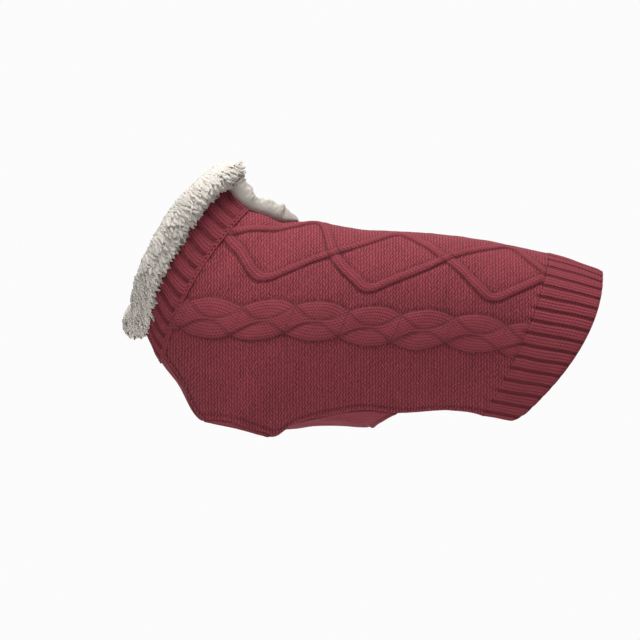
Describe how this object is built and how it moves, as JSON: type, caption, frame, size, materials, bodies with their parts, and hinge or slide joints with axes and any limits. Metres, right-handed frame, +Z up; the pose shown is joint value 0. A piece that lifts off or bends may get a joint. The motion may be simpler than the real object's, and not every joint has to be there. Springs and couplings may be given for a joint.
{
  "type": "dog sweater",
  "caption": "Hollow knitted dog sweater in its worn form, with a fleece collar, back slit, leg holes, belly panel and ribbed hem.",
  "frame": {"origin": "inside of the cloth at the middle of the back, where the garment rests on the wearer", "axes": "+X towards the tail, +Y towards the wearer's left side, +Z up; the garment is symmetric about Y = 0"},
  "size_m": [0.5365, 0.1596, 0.3082],
  "materials": {
    "body_knit": "cranberry acrylic knit, purl ground with raised cables and diamonds, matt",
    "belly_knit": "cranberry acrylic knit, fine lengthwise ribs, matt",
    "rib_knit": "cranberry acrylic wide rib knit, matt",
    "binding_knit": "cranberry plain knit, rolled edge, matt",
    "fleece": "cream curly fleece, deep matt pile"
  },
  "bodies": {
    "root": {"back_panel": "body_knit", "belly_panel": "belly_knit", "neck_rib": "rib_knit", "rear_hem": "rib_knit", "leg_binding_left": "binding_knit", "leg_binding_right": "binding_knit", "fleece_collar": "fleece", "slit_trim_left": "fleece", "slit_trim_right": "fleece"}
  },
  "joints": []
}
